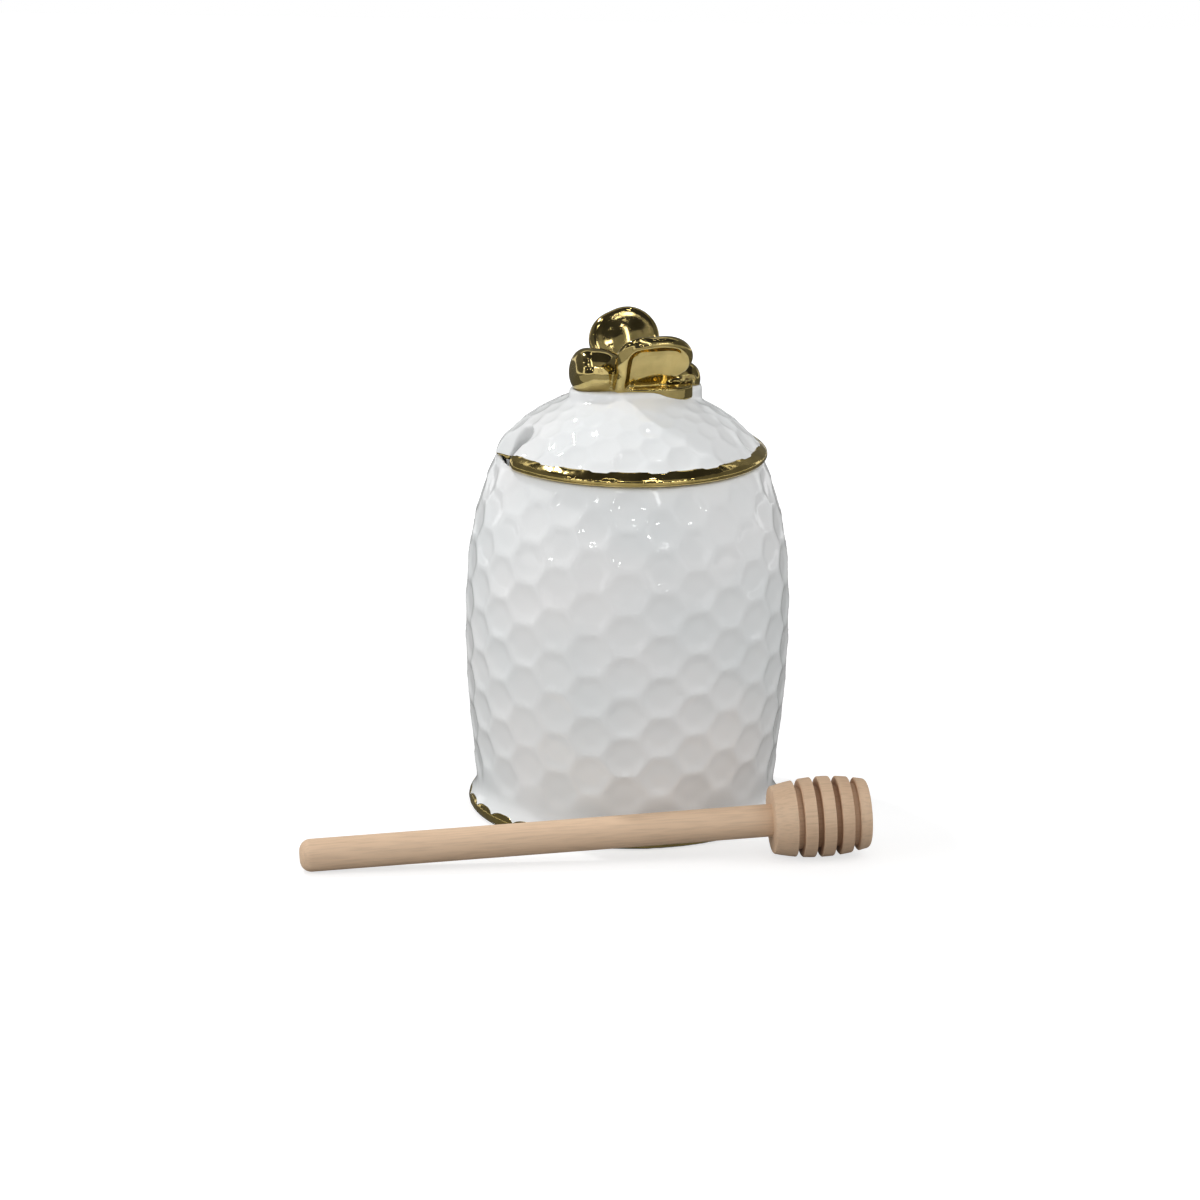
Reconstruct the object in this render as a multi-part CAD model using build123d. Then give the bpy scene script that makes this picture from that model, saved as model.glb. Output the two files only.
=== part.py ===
"""Honey pot: beehive-shaped porcelain pot, lift-off lid with a bee knob, and a turned wooden dipper.

Millimetres, +Z up. The origin is the centre of the standing foot, on the table. -Y is the front.
"""
from build123d import *
import os
from math import asin, cos, degrees, hypot, pi, radians, sin

# ---------------------------------------------------------------- driving dimensions: pot
belly_radius = 47.5           # widest part of the wall
belly_height = 56.7           # height of the widest part
waist_radius = 43.5           # narrowest part, just above the foot
waist_height = 9.2
rim_radius = 38.3             # outside of the pot's own rim, under the lid
rim_height = 105.3            # top of the pot, where the lid sits
shoulder_power = 2.85         # how late the wall turns in above the belly
base_power = 1.9              # how late it turns in below the belly
foot_radius = 46.0            # widest part of the flared foot
foot_swell_height = 2.4       # height of the foot's widest part
foot_underside_radius = 44.6  # where the rounded foot meets the table
wall = 3.2                    # fired wall, measured through the smooth surface
floor_thickness = 6.0         # bottom of the honey cavity above the table
foot_recess = 2.0             # depth of the hollow inside the foot ring
foot_ring_width = 5.0         # unglazed ring the pot stands on
cavity_corner = 9.0           # rounding between the cavity's floor and wall
mouth_radius = 36.4
rim_rounding = 0.8

# ---------------------------------------------------------------- driving dimensions: honeycomb
column_pairs = 14             # pairs of staggered cell columns round the pot
relief_depth = 0.65           # cell floor below the plane of its corners
relief_border = 2.2           # width of the sloping border inside each cell
shoulder_margin = 1.7         # smooth wall between the highest cells and the rim
waist_margin = 1.0            # smooth neck above the waist
ridge_drop = 0.08             # ridges lie this far under the smooth wall

# ---------------------------------------------------------------- driving dimensions: lid
seat_gap = 0.1                # clearance between the lid's rim and the pot's
dome_radius = 38.7            # outside of the dome at the seat
dome_rise = 21.5              # height of the dome above the seat
dome_power = 1.6              # 2 would be an ellipse; less is more pointed
lid_wall = 3.0
flange_clearance = 0.8        # between the lid's flange and the pot's mouth
flange_thickness = 2.4
flange_depth = 5.0            # how far the flange drops into the mouth
bead = 1.2                    # how far the gilded rim stands out from the dome
bead_height = 3.9
bead_chamfer = 0.5            # broken lower edge of the bead
bead_step = 0.15              # the bead's upper edge stands this far out from the dome
bead_near_end = 200.0         # azimuth, degrees from +X, where the bead starts beside the notch
bead_far_end = 152.0          # azimuth where it ends, past a bare stretch of rim
lid_cell_rows = 3
lid_cell_start = 3.0          # lower edge of the lid's cells above the seat
lid_cell_stop = 18.5          # no cell of the lid reaches higher above the seat than this

# ---------------------------------------------------------------- driving dimensions: dipper notch
slot_azimuth = 198.3          # direction of the handle's slot, degrees from +X
slot_lean = 25.0              # the slot's outward lean, degrees from upright
slot_clearance = 0.65         # free space round the dipper's handle in the slot
scoop_azimuth = 194.6         # direction of the broad scoop that opens the slot outward
scoop_radius = 11.25
scoop_depth = 3.9             # depth of the scoop below the dome at the seat
scoop_lean = 24.6             # the scoop's inward lean, degrees from upright
notch_flat = 37.8             # the rim before the notch is cut flat, this far from the lid's centre

# ---------------------------------------------------------------- driving dimensions: gilding
gilt_depth = 0.6              # thickness given to the fired gold film
foot_gilt_bottom = 0.5
foot_gilt_ring_top = 3.0      # plain ring of gold round the foot
foot_gilt_lobe = 1.7          # height of the scallops above that ring
foot_gilt_lobe_foot = 9.2     # width of a scallop at the ring
foot_gilt_lobe_tip = 5.4      # width of a scallop at its top

# ---------------------------------------------------------------- driving dimensions: bee knob
bee_yaw = 20.0                # the bee's heading, degrees from +X
bee_nose_down = 8.0
bee_length = 39.0
bee_shift = 1.6               # the bee's middle ahead of the lid's centre
bee_seat_depth = 3.6          # how far the bee is bedded into the plinth
abdomen_radius = 6.6
abdomen_length = 15.0         # tail to waist
tail_rounding = 4.2           # quarter-round that ends the abdomen
bee_waist_radius = 5.3
thorax_radius = 6.6
thorax_length = 12.0          # waist to neck
neck_radius = 4.6
head_radius = 5.0
face_rounding = 4.3           # quarter-round of the face
plinth_drop = 0.8             # top of the white plinth below the dome's peak
plinth_margin = 0.5           # plinth beyond the bee's length at each end
plinth_half_width = 11.5
plinth_rounding = 0.8
wing_height = 20.0
wing_tip_width = 22.0
wing_tip_radius = 9.3         # rounding of the wing's upper corners
wing_root_radius = 6.6
wing_sweep = 3.2              # the root sits this far behind the tip's middle
wing_thickness = 5.0
wing_dish = 1.9               # depth of the hollow in the outer face of a wing
wing_dish_radius = 8.5        # size of that hollow
wing_ahead = 1.0              # the wings' middle ahead of the bee's
wing_spread = 10.6            # centre of a wing from the bee's middle plane
wing_lift = 10.2              # centre of a wing above the plinth
wing_lean = 26.0              # outward lean of a wing, degrees from upright

# ---------------------------------------------------------------- driving dimensions: dipper
handle_diameter = 9.3
handle_length = 134.6         # free end to the head
handle_rounding = 3.2         # rounded free end of the handle
barrel_start_radius = 9.6     # the head's barrel, where it meets the handle
barrel_radius = 11.5          # at its widest
barrel_end_radius = 9.7
barrel_end_rounding = 1.4
ring_count = 5
first_ring_width = 6.4
ring_width = 3.6
groove_width = 1.75
groove_radius = 8.8           # wood left under the grooves
ring_edge = 0.3               # broken edges of the rings
dipper_end = (-91.2, -68.1)   # the handle's free end on the table
dipper_yaw = 8.3              # degrees from +X

# ---------------------------------------------------------------- shapes worked out from them
columns = 2 * column_pairs
column_angle = 2 * pi / columns
cell_side = column_angle / 1.5           # side of a regular cell, as a share of the local radius
row_pitch = cell_side * 3 ** 0.5
seat = rim_height + seat_gap
flange_radius = mouth_radius - flange_clearance
handle_radius = handle_diameter / 2
plinth_top = seat + dome_rise - plinth_drop
shell_overlap = belly_radius / 4         # the cells' solid is this much wider than the plain wall
BIG = 4 * belly_radius                   # larger than the whole pot
ON_BASE = (Align.CENTER, Align.CENTER, Align.MIN)


def pot_wall_radius(z):
    """Outside of the smooth pot wall at height z, from the waist to the rim."""
    if z >= belly_height:
        share = (z - belly_height) / (rim_height - belly_height)
        return belly_radius - (belly_radius - rim_radius) * share ** shoulder_power
    share = (belly_height - z) / (belly_height - waist_height)
    return belly_radius - (belly_radius - waist_radius) * share ** base_power


def dome_radius_at(rise):
    """Outside of the lid's dome at a height above the seat."""
    return dome_radius * (1 - (rise / dome_rise) ** dome_power) ** (1 / dome_power)


def dome_curve(radius, rise, base, start=0.0, steps=12):
    """Dome outline from a start angle (0 is the rim) up to the peak, as a spline in the XZ plane."""
    points = []
    for i in range(steps + 1):
        angle = start + (pi / 2 - start) * i / steps
        across = radius * max(cos(angle), 0) ** (2 / dome_power)
        points.append((across, 0, base + rise * sin(angle) ** (2 / dome_power)))
    return Spline(*points)


def path(*corners):
    """Straight lines through corners (radius, height) in the XZ plane."""
    return Polyline(*[(r, 0, z) for r, z in corners])


def turned(*edges):
    """Solid of revolution about Z from edges that close an outline."""
    return revolve(make_face(list(edges)), Axis.Z)


# ---------------------------------------------------------------- honeycomb skin
class Meridian:
    """A wall outline measured in the conformal coordinate q, where dq = length / radius.

    Equal steps of q and of azimuth keep every cell a regular hexagon, so cells shrink with the radius.
    """

    def __init__(self, radius_at, start, stop, steps=400):
        self.table = [(0.0, radius_at(start), start)]
        for i in range(1, steps + 1):
            z = start + (stop - start) * i / steps
            r = radius_at(z)
            q0, r0, z0 = self.table[-1]
            self.table.append((q0 + hypot(r - r0, z - z0) / ((r + r0) / 2), r, z))

    @property
    def length(self):
        return self.table[-1][0]

    def at(self, q):
        """(radius, height) at q, by interpolation."""
        for (q0, r0, z0), (q1, r1, z1) in zip(self.table, self.table[1:]):
            if q <= q1:
                break
        t = (q - q0) / (q1 - q0)
        return r0 + (r1 - r0) * t, z0 + (z1 - z0) * t

    def outward(self, q):
        """Unit normal (radial, vertical) at q, pointing out of the wall."""
        step = row_pitch / 20
        r0, z0 = self.at(max(q - step, 0))
        r1, z1 = self.at(min(q + step, self.length))
        size = hypot(r1 - r0, z1 - z0)
        sense = 1 if self.table[-1][2] > self.table[0][2] else -1
        return sense * (z1 - z0) / size, -sense * (r1 - r0) / size


def ring_point(r, z, angle):
    return Vector(r * cos(angle), r * sin(angle), z)


def plane_crossing(planes):
    """The point where three planes (point, normal) meet."""
    (p1, n1), (p2, n2), (p3, n3) = planes
    across = n2.cross(n3)
    total = across * n1.dot(p1) + n3.cross(n1) * n2.dot(p2) + n1.cross(n2) * n3.dot(p3)
    return total * (1 / n1.dot(across))


def flat_face(points):
    return Face(Wire.make_polygon(points, close=True))


def cell_faces(corners, out):
    """One dished cell: a flat floor and six sloping borders. Corners run anticlockwise from outside."""
    centre = sum(corners, Vector()) * (1 / 6)
    normal = Vector()
    for a, b in zip(corners, corners[1:] + corners[:1]):
        normal += (a - centre).cross(b - centre)
    normal = normal.normalized()
    if normal.dot(out) < 0:
        normal = normal * -1
    size = (corners[0] - corners[3]).length / 2
    reach = relief_border * size / (cell_side * belly_radius)
    floor = (centre - normal * (relief_depth * size / (cell_side * belly_radius)), normal)
    slopes = []
    for a, b in zip(corners, corners[1:] + corners[:1]):
        middle = (a + b) * 0.5
        inward = centre - middle
        inward = (inward - normal * inward.dot(normal)).normalized()
        foot = middle + inward * reach
        foot = foot - normal * (foot - floor[0]).dot(normal)
        slopes.append((a, (b - a).cross(foot - a).normalized()))
    inner = [plane_crossing((floor, slopes[i - 1], slopes[i])) for i in range(6)]
    faces = [flat_face(inner)]
    for i in range(6):
        j = (i + 1) % 6
        faces.append(flat_face([corners[i], corners[j], inner[j], inner[i]]))
    return faces


def honeycomb_solid(meridian, rows_even, rows_odd, low, high):
    """Closed solid with honeycomb cells on its side, wider than the wall above and below them.

    The first cells start at q = 0 in even columns and half a row later in odd columns.
    """
    half = row_pitch / 2
    side = cell_side / 2

    def wall_point(q, angle, proud):
        q = min(max(q, 0), meridian.length)
        r, z = meridian.at(q)
        out, up = meridian.outward(q)
        return ring_point(r + proud * out, z + proud * up, angle)

    faces = []
    first_edge, last_edge = [], []
    for c in range(columns):
        angle = -pi / 2 + c * column_angle
        first = half * (c % 2)
        count = rows_odd if c % 2 else rows_even
        for k in range(count):
            q0 = first + k * row_pitch
            q1, q2 = q0 + half, q0 + row_pitch
            ring = [(q0, -side), (q0, side), (q1, 2 * side), (q2, side), (q2, -side), (q1, -2 * side)]
            corners = [wall_point(q, angle + turn, -ridge_drop) for q, turn in ring]
            faces += cell_faces(corners, ring_point(1, 0.01, angle))
        last = first + count * row_pitch
        first_edge += [(first, angle - side), (first, angle + side)]
        last_edge += [(last, angle - side), (last, angle + side)]

    downwards = meridian.table[0][2] > meridian.table[-1][2]
    first_level, last_level = (high, low) if downwards else (low, high)
    for edge, level in ((first_edge, first_level), (last_edge, last_level)):
        near = [wall_point(q, angle, -ridge_drop) for q, angle in edge]
        outer = [wall_point(q, angle, shell_overlap) for q, angle in edge]
        cap = [Vector(p.X, p.Y, level) for p in outer]
        for i in range(len(edge)):
            j = (i + 1) % len(edge)
            faces.append(flat_face([near[i], near[j], outer[j]]))
            faces.append(flat_face([near[i], outer[j], outer[i]]))
            faces.append(flat_face([outer[i], outer[j], cap[j], cap[i]]))
        faces.append(flat_face(cap))
    return Solid(Shell(faces))


# ---------------------------------------------------------------- pot
def wall_curve(radius_at, start, stop, steps=12):
    """Spline along a wall outline between two heights."""
    heights = [start + (stop - start) * i / steps for i in range(steps + 1)]
    return Spline(*[(radius_at(z), 0, z) for z in heights])


def foot_flare(inset=0.0):
    """The foot's outside, from the table out to its widest part and in to the waist."""
    return Spline(
        (foot_underside_radius - inset, 0, 0),
        (foot_radius - inset, 0, foot_swell_height),
        (waist_radius - inset, 0, waist_height),
        tangents=[(1, 0, 1), (0, 0, 1)],
    )


def corner_arc(start, end, bulge):
    """Quarter-round between two points (radius, height); bulge is the corner that it rounds off."""
    (r0, z0), (r1, z1), (rb, zb) = start, end, bulge
    pull = 1 - cos(pi / 4)
    middle = (rb + (r0 + r1 - 2 * rb) * pull, 0, zb + (z0 + z1 - 2 * zb) * pull)
    return ThreePointArc((r0, 0, z0), middle, (r1, 0, z1))


def pot_envelope():
    """The pot as a smooth solid block, before its cells and cavity."""
    turn = rim_height - rim_rounding
    edge = pot_wall_radius(turn)
    return turned(
        foot_flare(),
        wall_curve(pot_wall_radius, waist_height, turn),
        corner_arc((edge, turn), (edge - rim_rounding, rim_height), (edge, rim_height)),
        path((edge - rim_rounding, rim_height), (0, rim_height), (0, 0), (foot_underside_radius, 0)),
    )


def honey_cavity():
    """The inside of the pot: floor, rounded corner, wall and mouth."""
    def inside_radius(z):
        return pot_wall_radius(z) - wall

    turn = rim_height - rim_rounding
    neck = turn - rim_rounding
    while inside_radius(neck) < mouth_radius:
        neck -= rim_rounding
    low = floor_thickness + cavity_corner
    side = inside_radius(low)
    lip = mouth_radius + rim_rounding
    return turned(
        corner_arc((side - cavity_corner, floor_thickness), (side, low), (side, floor_thickness)),
        wall_curve(inside_radius, low, neck),
        path((inside_radius(neck), neck), (mouth_radius, turn)),
        corner_arc((mouth_radius, turn), (lip, rim_height), (mouth_radius, rim_height)),
        path((lip, rim_height), (lip, BIG), (0, BIG), (0, floor_thickness)),
        path((0, floor_thickness), (side - cavity_corner, floor_thickness)),
    )


def foot_hollow():
    """Shallow recess that leaves a plain ring for the pot to stand on."""
    radius = foot_underside_radius - foot_ring_width
    return Cone(radius, radius - foot_recess, foot_recess, align=ON_BASE)


def make_pot():
    """Porcelain pot with its honeycomb wall."""
    line = Meridian(pot_wall_radius, rim_height - shoulder_margin, waist_height + waist_margin)
    rows = int(line.length / row_pitch)
    cells = honeycomb_solid(line, rows, rows - 1, -belly_radius, rim_height + belly_radius)
    return (pot_envelope() & cells) - honey_cavity() - foot_hollow()


def foot_gilt_zone():
    """The skin of the foot that carries gold: a ring with one scallop standing on it for each column."""
    ring_height = foot_gilt_ring_top - foot_gilt_bottom
    zone = Pos(0, 0, foot_gilt_bottom) * Cylinder(BIG, ring_height, align=ON_BASE)
    foot, tip = foot_gilt_lobe_foot / 2, foot_gilt_lobe_tip / 2
    sunk = -ring_height / 2
    lobe = Polyline(
        (-foot, sunk), (foot, sunk), (foot, 0), (tip, foot_gilt_lobe), (-tip, foot_gilt_lobe), (-foot, 0),
        close=True,
    )
    radial = Plane(origin=(0, 0, foot_gilt_ring_top), x_dir=(0, 1, 0), z_dir=(1, 0, 0))
    block = extrude(radial * make_face(lobe), BIG)
    for c in range(columns):
        zone += Rot(0, 0, degrees(column_angle) * c - 90) * block
    core = turned(
        foot_flare(gilt_depth),
        path((waist_radius - gilt_depth, waist_height), (0, waist_height), (0, 0)),
        path((0, 0), (foot_underside_radius - gilt_depth, 0)),
    )
    return zone - core


# ---------------------------------------------------------------- lid
def leaning_plane(azimuth, out, lean):
    """Plane at the seat, a distance out from the axis. Its normal leans outward and its x runs outward."""
    turn, tip = radians(azimuth), radians(lean)
    return Plane(
        origin=(out * cos(turn), out * sin(turn), seat),
        x_dir=(cos(tip) * cos(turn), cos(tip) * sin(turn), -sin(tip)),
        z_dir=(sin(tip) * cos(turn), sin(tip) * sin(turn), cos(tip)),
    )


def slot(half_width):
    """Inclined slot for the dipper's handle: round at its inner end and open outward."""
    tip = radians(slot_lean)
    middle = mouth_radius - slot_clearance - handle_radius / cos(tip)
    outline = Circle(half_width) + Pos(BIG / 2, 0) * Rectangle(BIG, 2 * half_width)
    return extrude(leaning_plane(slot_azimuth, middle, slot_lean) * outline, BIG, both=True)


def scoop(radius):
    """Broad shallow trough that leads from the dome's outside down to the rim."""
    out = dome_radius - scoop_depth + scoop_radius / cos(radians(scoop_lean))
    return leaning_plane(scoop_azimuth, out, -scoop_lean) * Cylinder(radius, 2 * BIG)


def half_space(z, above):
    """Large block above or below a height."""
    align = Align.MIN if above else Align.MAX
    return Pos(0, 0, z) * Box(2 * BIG, 2 * BIG, 2 * BIG, align=(Align.CENTER, Align.CENTER, align))


def plinth():
    """White oval base that carries the bee."""
    half_length = bee_length / 2 + plinth_margin
    place = Pos(0, 0, seat) * Rot(0, 0, bee_yaw) * Pos(bee_shift, 0, 0)
    block = extrude(place * Ellipse(half_length, plinth_half_width), plinth_top - seat)
    return fillet(block.edges().sort_by(Axis.Z)[-1], plinth_rounding)


def rim_bead():
    """Bead round the lid's rim, open where the dipper's notch is."""
    low = dome_radius - lid_wall
    full = dome_radius + bead
    top = dome_radius_at(bead_height) + bead_step
    face = make_face(path(
        (low, seat), (full - bead_chamfer, seat), (full, seat + bead_chamfer), (full, seat + bead_height / 2),
        (top, seat + bead_height), (low, seat + bead_height), (low, seat),
    ))
    ring = Rot(0, 0, bead_near_end) * revolve(face, Axis.Z, 360 + bead_far_end - bead_near_end)
    beyond = Rot(0, 0, scoop_azimuth) * Pos(notch_flat, 0, seat) * Box(
        BIG, BIG, BIG, align=(Align.MIN, Align.CENTER, Align.CENTER))
    return ring - beyond


def lid_hollow():
    """Inside of the lid and its flange."""
    radius = flange_radius - flange_thickness
    inner_radius = dome_radius - lid_wall
    inner_rise = dome_rise - lid_wall
    start = asin((1 - (radius / inner_radius) ** dome_power) ** 0.5)
    join = seat + inner_rise * sin(start) ** (2 / dome_power)
    bottom = seat - 2 * flange_depth
    return turned(
        dome_curve(inner_radius, inner_rise, seat, start),
        path((0, seat + inner_rise), (0, bottom), (radius, bottom), (radius, join)),
    )


def make_lid():
    """Porcelain lid: celled dome, plinth, gilded bead, flange, and the channel for the dipper."""
    line = Meridian(dome_radius_at, lid_cell_start, lid_cell_stop)
    rows = min(lid_cell_rows, int(line.length / row_pitch - 1 / 2))   # odd columns start half a row up
    cells = Pos(0, 0, seat) * honeycomb_solid(line, rows, rows, -belly_radius, belly_radius)
    dome = turned(
        dome_curve(dome_radius, dome_rise, seat),
        path((0, seat + dome_rise), (0, seat), (dome_radius, seat)),
    )
    flange = Pos(0, 0, seat - flange_depth) * Cylinder(
        flange_radius, flange_depth + lid_wall, align=ON_BASE)
    outside = (dome & cells) - half_space(plinth_top, True) + plinth() + rim_bead() + flange
    half_width = handle_radius + slot_clearance
    pocket = (slot(half_width + lid_wall) + scoop(scoop_radius + lid_wall)) & half_space(seat, True)
    below = slot(half_width + flange_clearance) & half_space(seat, False)
    return outside - (lid_hollow() - pocket) - slot(half_width) - scoop(scoop_radius) - below


def lid_gilt_zone():
    """The outer skin of the rim bead, which carries gold."""
    low = dome_radius - lid_wall
    full = dome_radius + bead - gilt_depth
    top = dome_radius_at(bead_height) - gilt_depth
    core = turned(path(
        (0, seat - bead), (full, seat - bead), (full, seat + bead_height / 2), (top, seat + bead_height),
        (low, seat + 2 * bead_height), (0, seat + 2 * bead_height), (0, seat - bead),
    ))
    return rim_bead() - core


# ---------------------------------------------------------------- bee knob
def on_plinth(shape):
    """Turns a shape made about the plinth's top centre to the bee's heading and puts it there."""
    return Pos(0, 0, plinth_top) * Rot(0, 0, bee_yaw) * Pos(bee_shift, 0, 0) * shape


def make_bee_body():
    """Abdomen, thorax and head, turned about one axis that runs tail to nose."""
    face_start = bee_length - face_rounding
    neck = abdomen_length + thorax_length
    tail_flat = abdomen_radius - tail_rounding
    face_flat = head_radius - face_rounding
    outline = [
        Line((0, 0), (0, tail_flat)),
        CenterArc((tail_rounding, tail_flat), tail_rounding, 90, 90),
        Spline(
            (tail_rounding, abdomen_radius),
            ((tail_rounding + abdomen_length) / 2, abdomen_radius),
            (abdomen_length, bee_waist_radius),
            (abdomen_length + thorax_length / 2, thorax_radius),
            (neck, neck_radius),
            (face_start, head_radius),
            tangents=[(1, 0), (1, 0)],
        ),
        CenterArc((face_start, face_flat), face_rounding, 0, 90),
        Line((bee_length, face_flat), (bee_length, 0)),
        Line((bee_length, 0), (0, 0)),
    ]
    spindle = revolve(make_face(outline), Axis.X)
    rise = abdomen_radius - bee_seat_depth
    return on_plinth(Pos(0, 0, rise) * Rot(0, bee_nose_down, 0) * Pos(-bee_length / 2, 0, 0) * spindle)


def make_wing(side):
    """Thick petal wing with a hollow in its outer face. side is 1 at the front and -1 at the back."""
    tip_shift = wing_tip_width / 2 - wing_tip_radius
    tip_height = wing_height / 2 - wing_tip_radius
    root_height = wing_root_radius - wing_height / 2
    lobes = [
        Pos(-tip_shift, tip_height) * Circle(wing_tip_radius),
        Pos(tip_shift, tip_height) * Circle(wing_tip_radius),
        Pos(-wing_sweep, root_height) * Circle(wing_root_radius),
    ]
    outline = make_hull([edge for lobe in lobes for edge in lobe.edges()])
    petal = extrude(outline, wing_thickness / 2, both=True)
    petal = fillet(petal.edges(), wing_thickness * 0.42)
    ball = (wing_dish_radius ** 2 + wing_dish ** 2) / (2 * wing_dish)
    petal -= Pos(0, 0, side * (wing_thickness / 2 - wing_dish + ball)) * Sphere(ball)
    upright = Rot(side * wing_lean, 0, 0) * Rot(90, 0, 0) * petal
    return on_plinth(Pos(wing_ahead, -side * wing_spread, wing_lift) * upright)


# ---------------------------------------------------------------- dipper
def barrel_radius_at(share):
    """Outside of the dipper's head; share runs from 0 at the handle to 1 at the end."""
    ends = barrel_start_radius + (barrel_end_radius - barrel_start_radius) * share
    swell = barrel_radius - (barrel_start_radius + barrel_end_radius) / 2
    return ends + swell * (1 - (2 * share - 1) ** 2)


def make_dipper():
    """Turned dipper lying on the table on its handle's end and its ringed head."""
    head_length = first_ring_width + (ring_count - 1) * (groove_width + ring_width)

    def barrel(z):
        return barrel_radius_at((z - handle_length) / head_length)

    free_end = handle_radius - handle_rounding
    outline = [
        path((0, 0), (free_end, 0)),
        corner_arc((free_end, 0), (handle_radius, handle_rounding), (handle_radius, 0)),
        path((handle_radius, handle_rounding), (handle_radius, handle_length)),
    ]
    low, inside = handle_length, handle_radius
    for i in range(ring_count):
        width = ring_width if i else first_ring_width
        last = i == ring_count - 1
        high = low + width
        edge = barrel_end_rounding if last else ring_edge
        start, stop = low + ring_edge, high - edge
        belly = (start + stop) / 2
        brow = barrel(stop) - edge
        outline += [
            path((inside, low), (barrel(start) - ring_edge, low), (barrel(start), start)),
            ThreePointArc((barrel(start), 0, start), (barrel(belly), 0, belly), (barrel(stop), 0, stop)),
            corner_arc((barrel(stop), stop), (brow, high), (barrel(stop), high)),
        ]
        inside = 0 if last else groove_radius
        low = high if last else high + groove_width
        outline.append(path((brow, high), (inside, high), (0, 0) if last else (inside, low)))
    stick = turned(*outline)
    resting_at = handle_length + head_length / 2
    tilt = degrees(asin((barrel_radius - handle_radius) / (resting_at - handle_rounding)))
    lying = Rot(0, 0, dipper_yaw) * Rot(0, 90 - tilt, 0) * stick
    x, y = dipper_end
    return Pos(x, y, -lying.bounding_box().min.Z) * lying


# ---------------------------------------------------------------- the whole object
def build():
    pot = make_pot()
    foot_gilt = foot_gilt_zone()
    lid = make_lid()
    lid_gilt = lid_gilt_zone()
    bee = make_bee_body()
    front_wing = make_wing(1) - bee
    back_wing = make_wing(-1) - bee
    return {
        "pot_body": pot - foot_gilt,
        "foot_gilt_band": pot & foot_gilt,
        "lid_dome": lid - lid_gilt - bee,
        "lid_gilt_band": lid & lid_gilt,
        "bee_body": bee,
        "bee_wing_front": front_wing,
        "bee_wing_back": back_wing,
        "honey_dipper": make_dipper(),
    }


os.makedirs("parts", exist_ok=True)
for node, solid in build().items():
    export_step(solid, f"parts/{node}.step")
    print(node, len(solid.solids()), round(solid.volume), "mm3")
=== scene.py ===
# %% [markdown]
# # A beehive honey pot in white porcelain, gold lustre and beech
#
# The pot is three loose pieces: a slip-cast pot, a lift-off lid with a gilded bee for a knob, and a
# turned wooden dipper. The construction model already holds them at their true size. This notebook
# dresses them: it rounds the hard edges as a coat of glaze does, gilds the rims, finishes the bee, and
# gives each finish its own procedural material. Every piece keeps its place.

# %% Load the construction model
import math

import bpy
from mathutils import Matrix, Vector


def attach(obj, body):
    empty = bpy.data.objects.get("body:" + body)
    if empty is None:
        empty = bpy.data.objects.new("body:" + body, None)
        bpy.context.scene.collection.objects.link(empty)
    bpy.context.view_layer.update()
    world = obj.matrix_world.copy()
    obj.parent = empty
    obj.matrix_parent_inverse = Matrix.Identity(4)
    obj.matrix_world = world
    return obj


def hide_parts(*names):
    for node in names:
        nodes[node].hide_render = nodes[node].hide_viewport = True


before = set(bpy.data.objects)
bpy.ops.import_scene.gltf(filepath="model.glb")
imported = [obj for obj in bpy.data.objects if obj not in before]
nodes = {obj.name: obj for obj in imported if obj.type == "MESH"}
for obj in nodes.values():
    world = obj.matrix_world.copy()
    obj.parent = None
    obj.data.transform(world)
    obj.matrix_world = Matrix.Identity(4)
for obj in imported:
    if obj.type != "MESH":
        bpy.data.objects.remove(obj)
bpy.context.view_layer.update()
MM = 0.001

# %% [markdown]
# ## The camera
#
# The pot is seen from about 1.45 m with a long lens, from a little above, and the camera is rolled by
# under a degree. A long lens keeps the sides of the pot nearly upright. A small lens shift slides the pot
# within the frame without turning the camera away from it.

# %% Camera
CAMERA_DISTANCE = 1.45
CAMERA_ELEVATION = math.radians(15.446)
CAMERA_ROLL = math.radians(0.816)
LOOK_AT = Vector((0, 0, 0.060))      # a point on the pot's axis, metres
SENSOR = 36.0                        # width of the sensor, mm
FRAME_PIXELS = 1200                  # width and height of the frame
FOCAL_PIXELS = 4973.2                # focal length in pixels of that frame
AIM_PIXEL = (627.38, 606.24)         # where LOOK_AT falls, from the frame's upper left corner
CLIP_NEAR, CLIP_FAR = 0.05, 50


def add_camera():
    """Camera on the -Y side, looking along +Y and down."""
    back = Vector((0, -math.cos(CAMERA_ELEVATION), math.sin(CAMERA_ELEVATION)))
    bpy.ops.object.camera_add(location=LOOK_AT + back * CAMERA_DISTANCE)
    camera = bpy.context.object
    turn = (-back).to_track_quat("-Z", "Y").to_matrix() @ Matrix.Rotation(CAMERA_ROLL, 3, "Z")
    camera.rotation_euler = turn.to_euler()
    camera.data.sensor_width = SENSOR
    camera.data.lens = SENSOR * FOCAL_PIXELS / FRAME_PIXELS
    camera.data.shift_x = (FRAME_PIXELS / 2 - AIM_PIXEL[0]) / FRAME_PIXELS
    camera.data.shift_y = (AIM_PIXEL[1] - FRAME_PIXELS / 2) / FRAME_PIXELS
    camera.data.clip_start = CLIP_NEAR
    camera.data.clip_end = CLIP_FAR
    bpy.context.scene.camera = camera
    return camera


camera = add_camera()
bpy.context.scene.view_settings.view_transform = "Standard"
print("lens, mm:", round(camera.data.lens, 1))

# %% [markdown]
# ## Small tools for working by hand
#
# Operators act on whatever is selected, so each step starts from a clean selection. A piece that
# rounds off a construction part starts as a merged copy of its mesh.

# %% Selection, copies and modifiers
MERGE_DISTANCE = 0.001 * MM


def only(piece):
    """Selects one object and makes it active."""
    bpy.ops.object.select_all(action="DESELECT")
    piece.select_set(True)
    bpy.context.view_layer.objects.active = piece
    return piece


def joined(first, *others):
    """Joins the other objects into the first one."""
    only(first)
    for other in others:
        other.select_set(True)
    if others:
        bpy.ops.object.join()
    return bpy.context.object


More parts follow.
